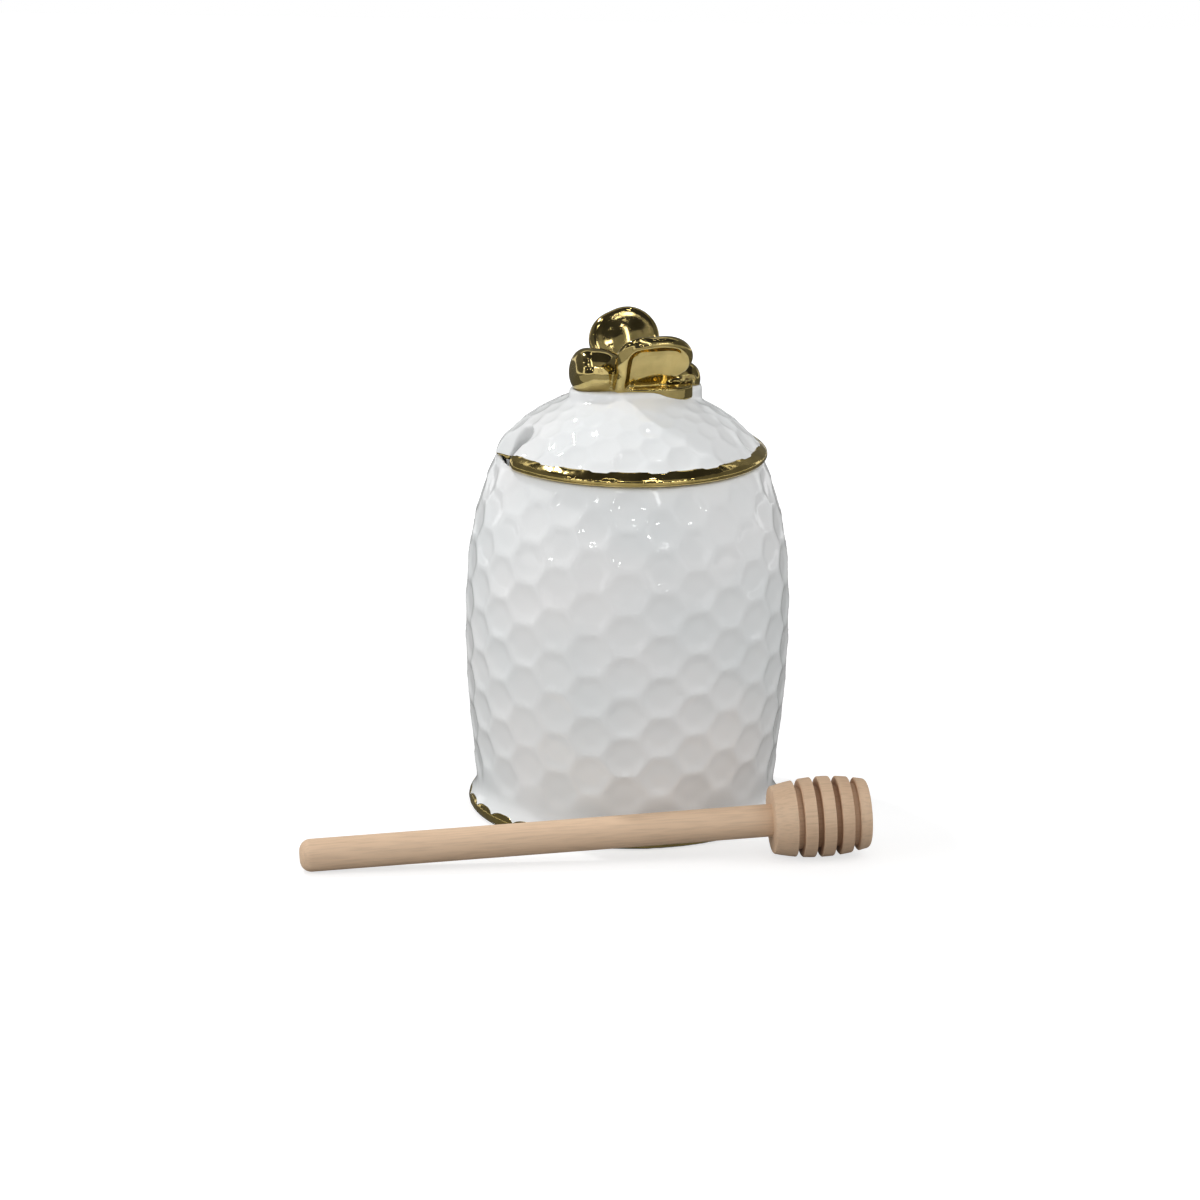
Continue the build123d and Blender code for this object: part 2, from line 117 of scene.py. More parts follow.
def edit(piece, select="SELECT"):
    """Edit mode on one object, with all of its mesh selected, or none of it."""
    only(piece)
    bpy.ops.object.mode_set(mode="EDIT")
    bpy.ops.mesh.select_all(action=select)


def bake_transform(piece):
    """Puts the object's own move, turn and scale into its mesh, so that its origin is the frame's."""
    only(piece)
    bpy.ops.object.transform_apply(location=True, rotation=True, scale=True)
    return piece


def free_copy(piece):
    """A loose copy of an object with a mesh of its own."""
    twin = piece.copy()
    twin.data = piece.data.copy()
    twin.parent = None
    bpy.context.collection.objects.link(twin)
    return twin


def joined_copy(name, *parts):
    """One new mesh object from copies of the named construction nodes, with doubled points merged."""
    piece = bake_transform(joined(*[free_copy(nodes[part]) for part in parts]))
    piece.name = piece.data.name = name
    edit(piece)
    bpy.ops.mesh.remove_doubles(threshold=MERGE_DISTANCE)
    bpy.ops.object.mode_set(mode="OBJECT")
    piece.data.materials.clear()
    return piece


def apply_modifier(piece, kind, **settings):
    """Adds a modifier with these settings and applies it."""
    only(piece)
    modifier = piece.modifiers.new(kind.lower(), kind)
    for key, value in settings.items():
        setattr(modifier, key, value)
    bpy.ops.object.modifier_apply(modifier=modifier.name)


def combine(piece, operation, tool):
    """Keeps what the tool covers, or cuts it away, and throws the tool out."""
    apply_modifier(piece, "BOOLEAN", operation=operation, object=tool, solver="EXACT")
    bpy.data.objects.remove(tool)


def glazed(piece, voxel, passes):
    """Remeshes a closed copy finely and evens it out, as a melted glaze rounds every edge."""
    apply_modifier(piece, "REMESH", mode="VOXEL", voxel_size=voxel, use_smooth_shade=True)
    apply_modifier(piece, "SMOOTH", factor=0.5, iterations=passes)
    only(piece)
    bpy.ops.object.shade_smooth()
    print(piece.name, "faces:", len(piece.data.polygons))
    return piece


# %% [markdown]
# ## The studio
#
# A pale floor and a white surround give the object an even, soft light. Polished gold has no colour of its
# own: it shows whatever stands round it, so the studio also needs something dark. Grey cards stand
# overhead, on all four sides and on the table, and only reflections see them. A key lamp behind and to
# the left, and two broad fills that reflections don't see, shape the white porcelain. Small spot lamps,
# most of them in front, leave the crisp sparks that glaze and gold show.


# %% Node helpers
def node_tree(owner):
    owner.use_nodes = True
    owner.node_tree.nodes.clear()
    return owner.node_tree


def add_node(tree, kind, inputs=None, **settings):
    """A node with some settings, and with values or links for some of its inputs."""
    made = tree.nodes.new(kind)
    for key, value in settings.items():
        setattr(made, key, value)
    for key, value in (inputs or {}).items():
        if isinstance(value, bpy.types.NodeSocket):
            tree.links.new(value, made.inputs[key])
        else:
            made.inputs[key].default_value = value
    return made


def ramp(tree, factor, *stops):
    """Colour ramp through (place, colour) stops; a colour is a grey level or three values."""
    made = add_node(tree, "ShaderNodeValToRGB", {0: factor})
    band = made.color_ramp
    while len(band.elements) < len(stops):
        band.elements.new(0.5)
    for element, (place, colour) in zip(band.elements, stops):
        element.position = place
        element.color = (*((colour,) * 3 if isinstance(colour, float) else colour), 1)
    return made.outputs["Color"]


# %% Surround
WHITE = (1.0, 1.0, 1.0, 1.0)
SKY_LOW, SKY_HIGH = 0.59, 0.34       # grey of the soft light from the horizon and from overhead


def seen_directly(tree):
    """1 for rays that come from the camera, a mirror or glass, and 0 for light that bounces softly."""
    rays = add_node(tree, "ShaderNodeLightPath")
    mirror = add_node(tree, "ShaderNodeMath", {
        0: rays.outputs["Is Camera Ray"], 1: rays.outputs["Is Glossy Ray"]}, operation="MAXIMUM")
    through = add_node(tree, "ShaderNodeMath", {
        0: mirror.outputs[0], 1: rays.outputs["Is Transmission Ray"]}, operation="MAXIMUM")
    return through.outputs[0]


def make_surround():
    """White where it is seen, and a plain soft light for everything else."""
    world = bpy.data.worlds.new("studio")
    bpy.context.scene.world = world
    tree = node_tree(world)
    direction = add_node(tree, "ShaderNodeTexCoord").outputs["Generated"]
    split = add_node(tree, "ShaderNodeSeparateXYZ", {0: direction})
    soft = ramp(tree, split.outputs["Z"], (0.0, SKY_LOW), (1.0, SKY_HIGH))
    level = add_node(tree, "ShaderNodeMix", {"Factor": seen_directly(tree), "A": soft, "B": WHITE},
                     data_type="RGBA")
    sky = add_node(tree, "ShaderNodeBackground", {"Color": level.outputs["Result"], "Strength": 1.0})
    add_node(tree, "ShaderNodeOutputWorld", {"Surface": sky.outputs[0]})


make_surround()


# %% Floor
FLOOR_SIZE = 3.0
FLOOR_DROP = 0.02 * MM               # a hair below the pot's foot
FLOOR_GREY = (0.46, 0.46, 0.46, 1)
FLOOR_ROUGHNESS = 0.6
FLOOR_LIFT = 0.68                    # white added near the pot, where the shadows are kept
FADE_FROM, FADE_TO = 0.28, 0.9       # distances over which the floor fades to plain white


def make_floor():
    """A pale floor that keeps the shadows and fades into the white surround further out."""
    bpy.ops.mesh.primitive_plane_add(size=FLOOR_SIZE, location=(0, 0, -FLOOR_DROP))
    floor = bpy.context.object
    floor.name = "floor"
    material = bpy.data.materials.new("pale_floor")
    tree = node_tree(material)
    place = add_node(tree, "ShaderNodeTexCoord").outputs["Object"]
    distance = add_node(tree, "ShaderNodeVectorMath", {0: place}, operation="LENGTH")
    lift = ramp(tree, distance.outputs["Value"], (FADE_FROM, FLOOR_LIFT), (FADE_TO, 1.0))
    shown = add_node(tree, "ShaderNodeMath", {0: lift, 1: seen_directly(tree)}, operation="MULTIPLY")
    paint = add_node(tree, "ShaderNodeBsdfPrincipled", {
        "Base Color": FLOOR_GREY, "Roughness": FLOOR_ROUGHNESS,
        "Emission Color": WHITE, "Emission Strength": shown.outputs[0]})
    add_node(tree, "ShaderNodeOutputMaterial", {"Surface": paint.outputs[0]})
    floor.data.materials.append(material)


make_floor()

# %% Cards that only reflections see
STANDS, LIES = True, False           # a card turned to face the pot, or flat on the table
CARDS = {
    # name: (place, width, height, grey, how it is held), in metres
    "canopy": ((0.0, -0.2, 2.2), 3.8, 3.8, 0.03, STANDS),
    "curtain": ((0.0, -2.4, 1.15), 3.6, 2.2, 0.04, STANDS),
    "lit_panel": ((0.80, -1.60, 1.75), 1.9, 1.3, 0.24, STANDS),
    "back_card": ((0.0, 2.0, 0.95), 3.8, 2.0, 0.14, STANDS),
    "left_card": ((-2.0, 0.0, 1.0), 3.8, 2.0, 0.10, STANDS),
    "right_card": ((2.0, 0.0, 1.0), 3.8, 2.0, 0.10, STANDS),
    "table_card": ((0.0, 0.0, 0.0001), 3.0, 3.0, 0.12, LIES),
    "table_front": ((0.0, -0.56, 0.0002), 1.4, 0.9, 0.42, LIES),
}
CARD_BLUE = 0.96                     # a card's blue as a share of its grey, for a slightly warm tone


def make_cards():
    """The grey cards, seen by reflections and by nothing else."""
    for name, (place, width, height, grey, stands) in CARDS.items():
        bpy.ops.mesh.primitive_plane_add(size=1, location=place)
        card = bpy.context.object
        card.name = name
        card.scale = (width, height, 1)
        if stands:
            card.rotation_euler = (LOOK_AT - Vector(place)).to_track_quat("Z", "Y").to_euler()
        material = bpy.data.materials.new(name)
        tree = node_tree(material)
        glow = add_node(tree, "ShaderNodeEmission", {
            "Color": (grey, grey, grey * CARD_BLUE, 1), "Strength": 1.0})
        add_node(tree, "ShaderNodeOutputMaterial", {"Surface": glow.outputs[0]})
        card.data.materials.append(material)
        card.visible_camera = card.visible_diffuse = card.visible_shadow = False
        card.visible_transmission = card.visible_volume_scatter = False


make_cards()

# %% Lamps
LAMPS = {
    # name: (place, width, height, power in watts, shows in reflections), in metres
    "key": ((-0.80, 0.50, 1.60), 0.10, 0.10, 10.0, True),
    "left_fill": ((-1.4, -0.6, 0.6), 1.0, 1.0, 8.0, False),
    "right_fill": ((1.4, -0.3, 1.25), 1.0, 1.0, 8.5, False),
    "strip": ((0.46, -0.94, 1.21), 0.08, 0.90, 1.3, True),
    "round": ((-0.15, -1.07, 1.17), 0.13, 0.13, 0.4, True),
}
SPOTS = (
    # (azimuth, elevation, size) of the lamps that leave sparks: degrees, degrees, metres
    (-134, 24, 0.05), (-118, 34, 0.05), (-106, 22, 0.05), (-94, 36, 0.05), (-80, 24, 0.05),
    (-62, 16, 0.05), (-48, 26, 0.05), (-28, 40, 0.05),
    (-150, 45, 0.04), (-108, 64, 0.04), (-70, 68, 0.04), (-130, 75, 0.04), (-40, 76, 0.04),
    (60, 70, 0.04), (150, 62, 0.04),
)
SPOT_RANGE = 1.5                     # metres from the point the camera looks at
SPOT_GLOW = 26.0                     # the same brightness for every spot, whatever its size


def make_lamp(name, place, width, height, power, mirrored=True):
    """An area lamp that faces the pot."""
    bpy.ops.object.light_add(type="AREA", location=place)
    lamp = bpy.context.object
    lamp.name = name
    lamp.data.shape = "RECTANGLE"
    lamp.data.size, lamp.data.size_y = width, height
    lamp.data.energy = power
    lamp.visible_glossy = mirrored
    lamp.rotation_euler = (LOOK_AT - Vector(place)).to_track_quat("-Z", "Y").to_euler()


def make_lamps():
    """The key, the two fills, the two lamps that reflections pick up, and the small spots."""
    for name, (place, width, height, power, mirrored) in LAMPS.items():
        make_lamp(name, place, width, height, power, mirrored)
    for azimuth, elevation, size in SPOTS:
        raised = Matrix.Rotation(math.radians(-elevation), 3, "Y")
        turned = Matrix.Rotation(math.radians(azimuth), 3, "Z")
        place = LOOK_AT + turned @ raised @ Vector((SPOT_RANGE, 0, 0))
        make_lamp("spot", place, size, size, SPOT_GLOW * math.pi * size ** 2)


make_lamps()

# %% [markdown]
# ## Shared effects
#
# Glaze and gold both show a slow ripple where the melted coat settled, and the porcelain has a few
# specks. Each effect is a node group, built once and used with a material's own values.


# %% Node groups
def new_group(name, inputs, outputs):
    """An empty node group with named sockets. Returns (group, its input node, its output node)."""
    group = bpy.data.node_groups.new(name, "ShaderNodeTree")
    for label, value in inputs.items():
        kind = "NodeSocketColor" if isinstance(value, tuple) else "NodeSocketFloat"
        made = group.interface.new_socket(name=label, in_out="INPUT", socket_type=kind)
        made.default_value = value
    for label, kind in outputs.items():
        group.interface.new_socket(name=label, in_out="OUTPUT", socket_type=kind)
    return group, group.nodes.new("NodeGroupInput"), group.nodes.new("NodeGroupOutput")


def make_ripple():
    """Slow unevenness of a melted surface, as a height and a normal."""
    group, given, result = new_group(
        "melted_ripple", {"Scale": 120.0, "Strength": 0.05, "Distance": 0.0002},
        {"Height": "NodeSocketFloat", "Normal": "NodeSocketVector"})
    place = add_node(group, "ShaderNodeTexCoord").outputs["Object"]
    noise = add_node(group, "ShaderNodeTexNoise", {
        "Vector": place, "Scale": given.outputs["Scale"], "Detail": 1.5})
    bump = add_node(group, "ShaderNodeBump", {
        "Strength": given.outputs["Strength"], "Distance": given.outputs["Distance"],
        "Height": noise.outputs[0]})
    group.links.new(noise.outputs[0], result.inputs["Height"])
    group.links.new(bump.outputs[0], result.inputs["Normal"])
    return group


def make_specks():
    """Sparse round specks as a mask: 1 in a speck, 0 elsewhere."""
    group, given, result = new_group(
        "fine_specks", {"Scale": 90.0, "Size": 0.08, "Share": 0.04}, {"Mask": "NodeSocketFloat"})
    place = add_node(group, "ShaderNodeTexCoord").outputs["Object"]
    cells = add_node(group, "ShaderNodeTexVoronoi", {"Vector": place, "Scale": given.outputs["Scale"]})
    near = add_node(group, "ShaderNodeMath", {0: cells.outputs["Distance"], 1: given.outputs["Size"]},
                    operation="LESS_THAN")
    pick = add_node(group, "ShaderNodeSeparateColor", {0: cells.outputs["Color"]})
    rare = add_node(group, "ShaderNodeMath", {0: pick.outputs[0], 1: given.outputs["Share"]},
                    operation="LESS_THAN")
    both = add_node(group, "ShaderNodeMath", {0: near.outputs[0], 1: rare.outputs[0]},
                    operation="MULTIPLY")
    group.links.new(both.outputs[0], result.inputs["Mask"])
    return group


RIPPLE = make_ripple()
SPECKS = make_specks()


def effect(tree, group, **values):
    """Places a node group in a material with its own values."""
    made = add_node(tree, "ShaderNodeGroup", node_tree=group)
    for key, value in values.items():
        made.inputs[key].default_value = value
    return made


# %% [markdown]
# ## Porcelain
#
# White, faintly cool, with a hard clear glaze. The body colour drifts a little, because the glaze is
# thicker in some places, and there is a rare dark speck of iron, as fired ware has.

# %% Porcelain material
BODY_COOL, BODY_WARM = (0.80, 0.825, 0.83), (0.87, 0.87, 0.868)
IRON_SPECK = (0.25, 0.22, 0.19, 1)
GLAZE_ROUGHNESS, GLAZE_IOR = 0.07, 1.5


def make_porcelain():
    """White body under a clear glaze."""
    material = bpy.data.materials.new("glazed_porcelain")
    tree = node_tree(material)
    place = add_node(tree, "ShaderNodeTexCoord").outputs["Object"]
    drift = add_node(tree, "ShaderNodeTexNoise", {"Vector": place, "Scale": 26.0, "Detail": 2.0})
    body = ramp(tree, drift.outputs[0], (0.3, BODY_COOL), (0.7, BODY_WARM))
    specks = effect(tree, SPECKS, Scale=55.0, Size=0.03, Share=0.05)
    colour = add_node(tree, "ShaderNodeMix", {
        "Factor": specks.outputs["Mask"], "A": body, "B": IRON_SPECK}, data_type="RGBA")
    ripple = effect(tree, RIPPLE, Scale=150.0, Strength=0.06, Distance=0.0002)
    paint = add_node(tree, "ShaderNodeBsdfPrincipled", {
        "Base Color": colour.outputs["Result"], "Roughness": GLAZE_ROUGHNESS, "IOR": GLAZE_IOR,
        "Normal": ripple.outputs["Normal"]})
    add_node(tree, "ShaderNodeOutputMaterial", {"Surface": paint.outputs[0]})
    return material


porcelain = make_porcelain()

# %% [markdown]
# ## Gold lustre
#
# A film of gold fired on the glaze: a mirror with the ripple of the glaze under it, paler and a little
# rougher where the film was brushed thin. The rims and the bee have a gold of their own. On the rims the
# film lies over the cells, so its ripple is finer and stronger.


# %% Gold material
def make_gold(name, thick, thin, ripple_scale, ripple_strength):
    """Gold film from its colours where it is thick and thin, and the ripple of the glaze under it."""
    material = bpy.data.materials.new(name)
    tree = node_tree(material)
    place = add_node(tree, "ShaderNodeTexCoord").outputs["Object"]
    drift = add_node(tree, "ShaderNodeTexNoise", {"Vector": place, "Scale": 160.0, "Detail": 3.0})
    tone = ramp(tree, drift.outputs[0], (0.3, thick), (0.7, thin))
    wear = ramp(tree, drift.outputs[0], (0.35, 0.07), (0.75, 0.16))
    ripple = effect(tree, RIPPLE, Scale=ripple_scale, Strength=ripple_strength, Distance=0.0003)
    paint = add_node(tree, "ShaderNodeBsdfPrincipled", {
        "Base Color": tone, "Metallic": 1.0, "Roughness": wear, "Normal": ripple.outputs["Normal"]})
    add_node(tree, "ShaderNodeOutputMaterial", {"Surface": paint.outputs[0]})
    return material


band_gold = make_gold(
    "gold_on_rims", thick=(0.63, 0.48, 0.17), thin=(0.95, 0.73, 0.28), ripple_scale=300.0,
    ripple_strength=0.50)
bee_gold = make_gold(
    "gold_on_bee", thick=(0.54, 0.43, 0.17), thin=(0.74, 0.58, 0.24), ripple_scale=220.0,
    ripple_strength=0.30)

# %% [markdown]
# ## Beech
#
# Pale, slightly pink wood, bare and sanded. Its fine darker flecks run along the stick, so the pattern is
# turned to lie along the dipper and is stretched that way. In the grooves the wood is coloured darker,
# most of all towards their floor.

# %% Beech material
DIPPER_END = (-0.0912, -0.0681, 0.0045)     # middle of the handle's free end
DIPPER_YAW = math.radians(8.3)
DIPPER_TILT = math.radians(2.7)             # the head is thicker than the handle, so the stick rises to it
GROOVES = (0.1409, 0.1589)                  # the grooves' stretch along the stick
GROOVE_EDGE = 0.0002                        # over which the dark wood starts and stops
GROOVE_DEPTHS = (0.0091, 0.0104)            # radii between which the dark wood fades out
GRAIN_STRETCH = (0.06, 1, 1)
BEECH_DARK, BEECH_LIGHT = (0.68, 0.475, 0.315), (0.74, 0.535, 0.365)
GROOVE_SHADE = (0.58, 0.45, 0.36, 1)
BEECH_ROUGHNESS = 0.62


def make_beech():
    """Bare beech with its grain along the dipper, coloured darker in the grooves."""
    material = bpy.data.materials.new("bare_beech")
    tree = node_tree(material)
    place = add_node(tree, "ShaderNodeTexCoord").outputs["Object"]
    stick = add_node(tree, "ShaderNodeMapping", {
        "Vector": place, "Location": DIPPER_END, "Rotation": (0, -DIPPER_TILT, DIPPER_YAW)},
        vector_type="TEXTURE").outputs[0]
    stretched = add_node(tree, "ShaderNodeMapping", {"Vector": stick, "Scale": GRAIN_STRETCH})
    grain = add_node(tree, "ShaderNodeTexNoise", {
        "Vector": stretched.outputs[0], "Scale": 1800.0, "Detail": 4.0})
    broad = add_node(tree, "ShaderNodeTexNoise", {
        "Vector": stretched.outputs[0], "Scale": 140.0, "Detail": 2.0})
    tone = ramp(tree, broad.outputs[0], (0.3, BEECH_DARK), (0.7, BEECH_LIGHT))
    fleck = ramp(tree, grain.outputs[0], (0.30, 0.86), (0.55, 1.0))
    sanded = add_node(tree, "ShaderNodeMix", {"Factor": 1.0, "A": tone, "B": fleck}, data_type="RGBA",
                      blend_type="MULTIPLY")
    ahead = add_node(tree, "ShaderNodeSeparateXYZ", {0: stick}).outputs["X"]
    across = add_node(tree, "ShaderNodeVectorMath", {0: stick, 1: (0, 1, 1)}, operation="MULTIPLY")
    radius = add_node(tree, "ShaderNodeVectorMath", {0: across.outputs[0]}, operation="LENGTH")
    # The grooves are coloured darker: fully at their floor, fading out up their walls and at their ends.
    deep = ramp(tree, radius.outputs["Value"], (GROOVE_DEPTHS[0], 1.0), (GROOVE_DEPTHS[1], 0.0))
    between = ramp(tree, ahead, (GROOVES[0] - GROOVE_EDGE, 0.0), (GROOVES[0], 1.0), (GROOVES[1], 1.0),
                   (GROOVES[1] + GROOVE_EDGE, 0.0))
    groove = add_node(tree, "ShaderNodeMath", {0: deep, 1: between}, operation="MULTIPLY")
    colour = add_node(tree, "ShaderNodeMix", {
        "Factor": groove.outputs[0], "A": sanded.outputs["Result"], "B": GROOVE_SHADE},
        data_type="RGBA", blend_type="MULTIPLY")
    bump = add_node(tree, "ShaderNodeBump", {
        "Strength": 0.25, "Distance": 0.0001, "Height": grain.outputs[0]})
    paint = add_node(tree, "ShaderNodeBsdfPrincipled", {
        "Base Color": colour.outputs["Result"], "Roughness": BEECH_ROUGHNESS, "Normal": bump.outputs[0]})
    add_node(tree, "ShaderNodeOutputMaterial", {"Surface": paint.outputs[0]})
    return material


beech = make_beech()

# %% [markdown]
# ## The pot and the lid
#
# The construction pot and lid have flat-bottomed cells with crisp ridges. Glaze softens them, so a copy of
# the porcelain together with its gilding is remeshed and smoothed. The voxels are small enough to keep
# every cell, and the passes set how far the glaze has run.


# %% Pot
def finish_piece(piece, body, slot, material, *replaced):
    """Material and motion for a finished piece, with the construction parts it replaces hidden."""
    piece.data.materials.clear()
    piece.data.materials.append(material)
    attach(piece, body)
    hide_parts(*replaced)


POT_VOXEL, POT_PASSES = 1.0 * MM, 5
pot = glazed(joined_copy("glazed_pot", "pot_body", "foot_gilt_band"), POT_VOXEL, POT_PASSES)

# %% Lid
LID_VOXEL, LID_PASSES = 0.55 * MM, 14
lid = glazed(joined_copy("glazed_lid", "lid_dome", "lid_gilt_band"), LID_VOXEL, LID_PASSES)

# %% [markdown]
# ## The gilding
#
# Lustre is brushed over the fired glaze, so the gold has exactly the shape of the surface under it. Each
# band is therefore cut out of a copy of the glazed piece: a ring block marks what the brush covered, its
# upper edge rises and falls as the painter's hand went round the cells, and what lies inside the block is
# kept. It is then raised by a few hundredths of a millimetre, so that it covers the glaze.

# %% Ring blocks and bands
COLUMNS = 28
STEPS = 8                # points of a ring block for each column of cells
LUSTRE = 0.04 * MM       # how far the gold stands off the glaze


def ring_block(name, inner, outer, low, high):
    """A closed ring about the pot's axis with an even number of points for each column of cells."""
    bpy.ops.mesh.primitive_circle_add(vertices=COLUMNS * STEPS, radius=inner, location=(0, 0, low))
    block = bake_transform(bpy.context.object)
    block.name = block.data.name = name
    edit(block)
    bpy.ops.mesh.extrude_region_move()
    bpy.ops.transform.resize(value=(outer / inner, outer / inner, 1))
    bpy.ops.mesh.select_all(action="SELECT")
    bpy.ops.mesh.extrude_region_move(TRANSFORM_OT_translate={"value": (0, 0, high - low)})
    bpy.ops.mesh.select_all(action="SELECT")
    bpy.ops.mesh.normals_make_consistent(inside=False)
    bpy.ops.object.mode_set(mode="OBJECT")
    print(name, "faces:", len(block.data.polygons))
    return block


def lift_top(block, height, by, chosen):
    """Moves the points above a height up or down; chosen(degrees) says which, by their azimuth."""
    edit(block, "DESELECT")
    bpy.ops.object.mode_set(mode="OBJECT")
    for point in block.data.vertices:
        azimuth = math.degrees(math.atan2(point.co.y, point.co.x)) % 360
        point.select = point.co.z > height and chosen(azimuth)
    bpy.ops.object.mode_set(mode="EDIT")
    bpy.ops.transform.translate(value=(0, 0, by))
    bpy.ops.object.mode_set(mode="OBJECT")


def step_in_column(azimuth, per=1):
    """Whole steps from the middle of the nearest column, or group of columns."""
    pitch = 360 / COLUMNS * per
    off = abs((azimuth + 90 + pitch / 2) % pitch - pitch / 2)
    return round(off / (360 / COLUMNS / STEPS))


def gilded(name, glazed_piece, *blocks):
    """The parts of a glazed piece inside the blocks, raised a little and joined."""
    bands = []
    for block in blocks:
        band = free_copy(glazed_piece)
        combine(band, "INTERSECT", block)
        apply_modifier(band, "DISPLACE", strength=LUSTRE, mid_level=0.0)
        bands.append(band)
    band = joined(*bands)
    band.name = band.data.name = name
    print(name, "faces:", len(band.data.polygons))
    return band


# %% Foot gilding
FOOT_INNER, FOOT_OUTER = 44.3 * MM, 50 * MM
FOOT_BAND_LOW, FOOT_BAND_TOP = 0.5 * MM, 3.0 * MM
FOOT_LIFTS = (
    # (points above this height, lift in mm, steps from the middle of a column), which round the scallops
    (2.9, 0.5, STEPS),
    (3.4, 0.7, 3),
    (4.1, 0.35, 2),
    (4.4, 0.15, 1),
)


def gild_foot():
    """A ring round the foot that rises to a rounded scallop under each column of cells."""
    block = ring_block("foot_block", FOOT_INNER, FOOT_OUTER, FOOT_BAND_LOW, FOOT_BAND_TOP)
    for height, lift, reach in FOOT_LIFTS:
        lift_top(block, height * MM, lift * MM, lambda azimuth: step_in_column(azimuth) <= reach)
    return gilded("foot_gilding", pot, block)


foot_gilding = gild_foot()

# %% Lid gilding
SEAT = 105.4 * MM
RIM_INNER, RIM_OUTER = 36.9 * MM, 43 * MM
RIM_UNDER = 0.6 * MM                   # the gold wraps this far under the lid's edge
BAND_TOP = 3.6 * MM                    # height of the band above the seat
BAND_START, BAND_STOP = 207.0, 152.0   # azimuths where the band starts and stops
RIM_LIFTS = (
    # (points above this height over BAND_TOP, lift in mm, steps from the middle of a pair of columns)
    (-0.1, 0.35, 5),
    (0.2, 0.35, 2),
)
BELOW_RIM = 0.5 * MM                   # how far the top is lowered past the seat where there is no band
EDGE_PLACE = (-37 * MM, -8.4 * MM, SEAT)       # middle of the thin line of gold beside the notch
EDGE_SIZE = (6 * MM, 15.6 * MM, 1.2 * MM)


def gild_rim():
    """A band round the lid that stops before the notch, and a thin line of gold along the rim there."""
    block = ring_block("rim_block", RIM_INNER, RIM_OUTER, SEAT - RIM_UNDER, SEAT + BAND_TOP)
    for height, lift, reach in RIM_LIFTS:
        lift_top(block, SEAT + BAND_TOP + height * MM, lift * MM,
                 lambda azimuth: step_in_column(azimuth, 2) <= reach)
    lift_top(block, SEAT, -BAND_TOP - BELOW_RIM, lambda azimuth: BAND_STOP < azimuth < BAND_START)
    bpy.ops.mesh.primitive_cube_add(size=1, location=EDGE_PLACE)
    edge_block = bpy.context.object
    edge_block.scale = EDGE_SIZE
    return gilded("rim_gilding", lid, block, bake_transform(edge_block))


rim_gilding = gild_rim()

# %% Finish the porcelain and its gilding
finish_piece(pot, "pot", "porcelain", porcelain, "pot_body")
finish_piece(foot_gilding, "pot", "gold_lustre", band_gold, "foot_gilt_band")
finish_piece(lid, "lid", "porcelain", porcelain, "lid_dome")
finish_piece(rim_gilding, "lid", "gold_lustre", band_gold, "lid_gilt_band")

# %% [markdown]
# ## The bee
#
# The knob is one casting: body and wings run into each other with soft hollows. Each wing starts as a copy
# of its construction solid. The near wing gets a square-edged root, a round shoulder and a scooped-out
# face. The far wing gets a full, domed face and is turned to show it. A fine remesh then merges the wings
# with the body, a low oval base and a ring for each eye.

# %% Shapes in the bee's directions
BEE_YAW = math.radians(20)
WING_LEAN = math.radians(26)


def aligned(piece, name, centre, size, lean):
    """Sizes and places a new piece ahead, to the bee's left and up, in mm; lean tips its top outward."""
    piece.name = name
    turn = Matrix.Rotation(BEE_YAW, 4, "Z")
    piece.matrix_world = (turn @ Matrix.Translation(Vector(centre) * MM) @ Matrix.Rotation(lean, 4, "X")
                          @ Matrix.Diagonal((*size, 1)))
    return bake_transform(piece)


def ellipsoid(name, centre, radii, lean):
    """Sphere scaled to three radii."""
    bpy.ops.mesh.primitive_uv_sphere_add(segments=64, ring_count=32, radius=MM)
    return aligned(bpy.context.object, name, centre, radii, lean)


def rounded_block(name, centre, size, lean, rounding):
    """Box with rounded edges."""
    bpy.ops.mesh.primitive_cube_add(size=MM)
    box = aligned(bpy.context.object, name, centre, size, lean)
    apply_modifier(box, "BEVEL", width=rounding * MM, segments=4, limit_method="NONE")
    return box


def reshape(piece, centre, scale=(1, 1, 1), turn=0.0, move=(0, 0, 0)):
    """Scales a piece about a point in millimetres, turns it about the Y direction and moves it."""
    edit(piece)
    pivot = Vector(centre) * MM
    bpy.ops.transform.resize(value=scale, center_override=pivot)
    bpy.ops.transform.rotate(value=turn, orient_axis="Y", center_override=pivot)
    bpy.ops.transform.translate(value=Vector(move) * MM)
    bpy.ops.object.mode_set(mode="OBJECT")


# %% Near wing
# Places, sizes and radii of the wings' shapes are in millimetres.
NEAR_VOXEL, NEAR_PASSES = 0.35 * MM, 4
NEAR_PIVOT, NEAR_SCALE = (-3, -10, 129), (1.05, 1, 0.85)
ROOT_PLACE, ROOT_SIZE, ROOT_ROUNDING = (0.3, -7.6, 129.4), (16.0, 4.6, 8.0), 1.5
SHOULDER_PLACE, SHOULDER_RADII = (-1.5, -12.1, 137.4), (7.3, 2.5, 6.6)
SCOOP_PLACE, SCOOP_SIZE, SCOOP_ROUNDING = (2.2, -14.9, 130.6), (18.6, 10.4, 20.0), 5.1


def make_near_wing():
    """The wing at the front, with a scooped-out face."""
    wing = joined_copy("front_wing", "bee_wing_front")
    reshape(wing, NEAR_PIVOT, scale=NEAR_SCALE)
    root = rounded_block("root", ROOT_PLACE, ROOT_SIZE, WING_LEAN, ROOT_ROUNDING)
    shoulder = ellipsoid("shoulder", SHOULDER_PLACE, SHOULDER_RADII, WING_LEAN)
    wing = glazed(joined(wing, root, shoulder), NEAR_VOXEL, NEAR_PASSES)
    scoop = rounded_block("scoop", SCOOP_PLACE, SCOOP_SIZE, WING_LEAN, SCOOP_ROUNDING)
    combine(wing, "DIFFERENCE", scoop)
    return wing


near_wing = make_near_wing()

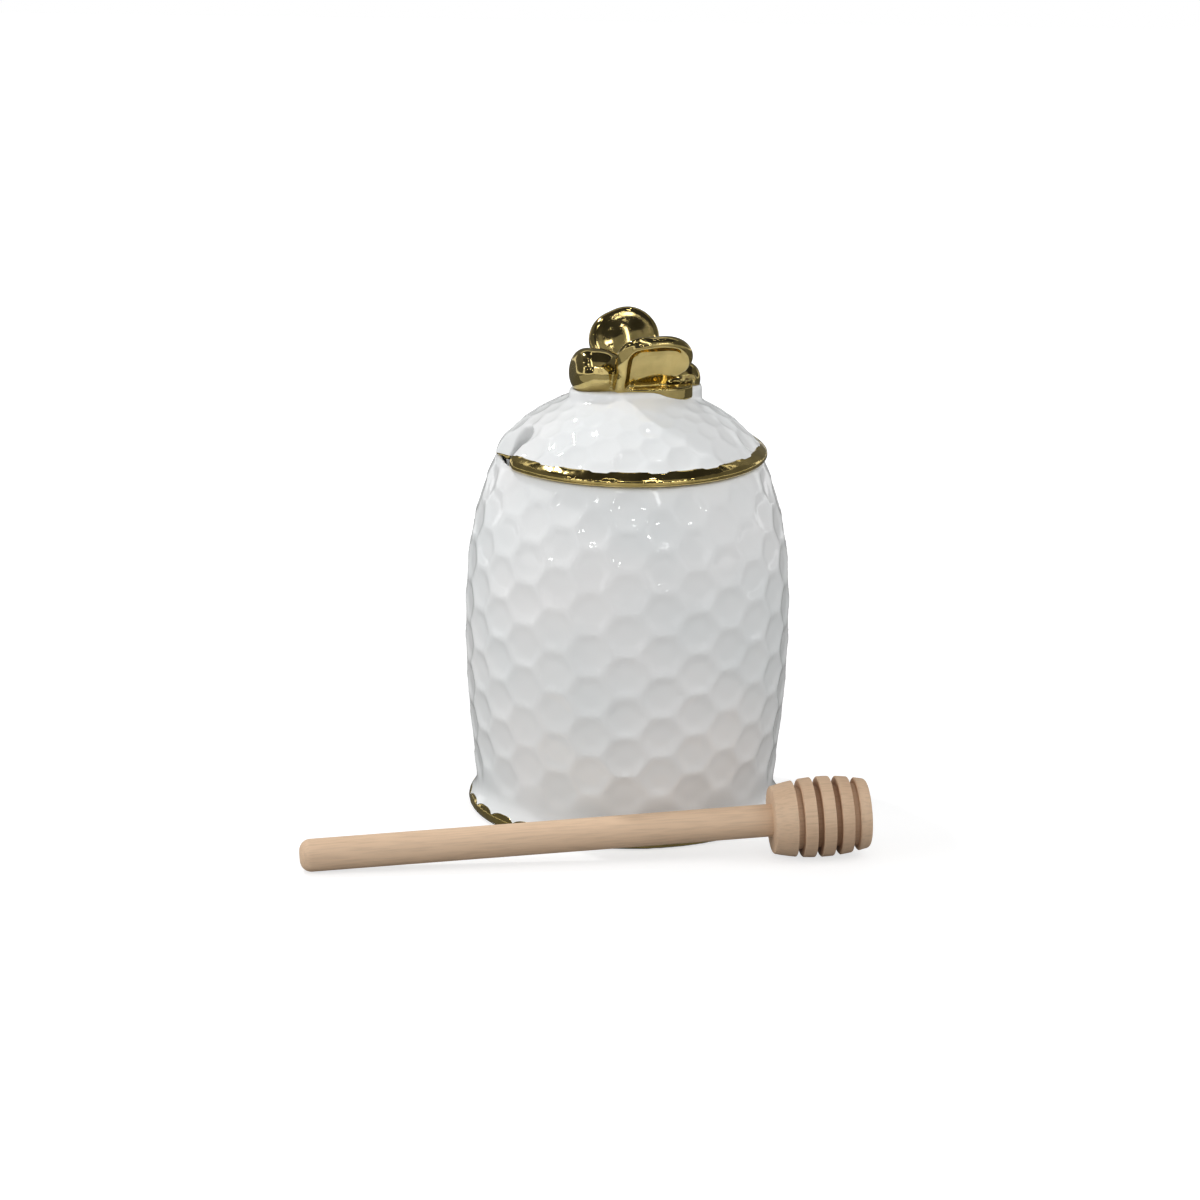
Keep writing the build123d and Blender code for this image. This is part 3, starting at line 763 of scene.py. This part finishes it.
# %% Far wing
FAR_VOXEL, FAR_PASSES = 0.4 * MM, 45         # many passes leave no valley to catch a ring of light
SWELL_PLACE, SWELL_RADII = (2.6, 10.6, 137.0), (9.6, 3.1, 8.4)
FAR_PIVOT, FAR_SCALE = (-4, 10, 133), (0.96, 1, 1.0)
FAR_TURN, FAR_MOVE = math.radians(22), (1.0, 0, -0.4)


def make_far_wing():
    """The wing at the back, with a domed face."""
    wing = joined_copy("back_wing", "bee_wing_back")
    swell = ellipsoid("swell", SWELL_PLACE, SWELL_RADII, -WING_LEAN)
    wing = glazed(joined(wing, swell), FAR_VOXEL, FAR_PASSES)
    reshape(wing, FAR_PIVOT, scale=FAR_SCALE, turn=FAR_TURN, move=FAR_MOVE)
    return wing


far_wing = make_far_wing()

# %% Base and eyes
BASE_PLACE = (0.6 * MM, -0.6 * MM, 125.15 * MM)
BASE_RADII = (17.4, 8.8, 1)              # half length and half width, mm; the thickness isn't scaled
BASE_THICKNESS = 3.9 * MM
BASE_YAW = math.radians(-4)
EYE_FORWARD, EYE_SIDE, EYE_HEIGHT = 17.0 * MM, 4.95 * MM, 128.0 * MM
EYE_RADIUS, EYE_THICKNESS = 1.0 * MM, 0.42 * MM
EYE_UPWARD = 0.25                        # how far an eye looks up for each step outward


def make_base():
    """Low oval slab under the bee."""
    bpy.ops.mesh.primitive_cylinder_add(
        vertices=96, radius=MM, depth=BASE_THICKNESS, location=BASE_PLACE, rotation=(0, 0, BASE_YAW))
    slab = bpy.context.object
    slab.scale = BASE_RADII
    return bake_transform(slab)


def make_eye(side):
    """A raised ring on one side of the bee's head; side is 1 at the front and -1 at the back."""
    ahead = Vector((math.cos(BEE_YAW), math.sin(BEE_YAW), 0))
    out = Vector((math.sin(BEE_YAW), -math.cos(BEE_YAW), 0)) * side
    bpy.ops.mesh.primitive_torus_add(
        major_radius=EYE_RADIUS, minor_radius=EYE_THICKNESS, major_segments=32, minor_segments=12,
        location=ahead * EYE_FORWARD + out * EYE_SIDE + Vector((0, 0, EYE_HEIGHT)),
        rotation=(out + Vector((0, 0, EYE_UPWARD))).to_track_quat("Z", "Y").to_euler())
    return bpy.context.object


# %% Merge the bee
BEE_VOXEL, BEE_PASSES = 0.3 * MM, 9

base = make_base()
bee = joined(joined_copy("gilded_bee", "bee_body"), near_wing, far_wing, base, make_eye(1), make_eye(-1))
bee = glazed(bee, BEE_VOXEL, BEE_PASSES)
finish_piece(bee, "lid", "gilded_porcelain", bee_gold, "bee_body", "bee_wing_front", "bee_wing_back")

# %% [markdown]
# ## The dipper
#
# The construction dipper already has the true turned form, so it keeps its mesh and only gets its wood.

# %% Dipper
nodes["honey_dipper"].data.materials.clear()
nodes["honey_dipper"].data.materials.append(beech)
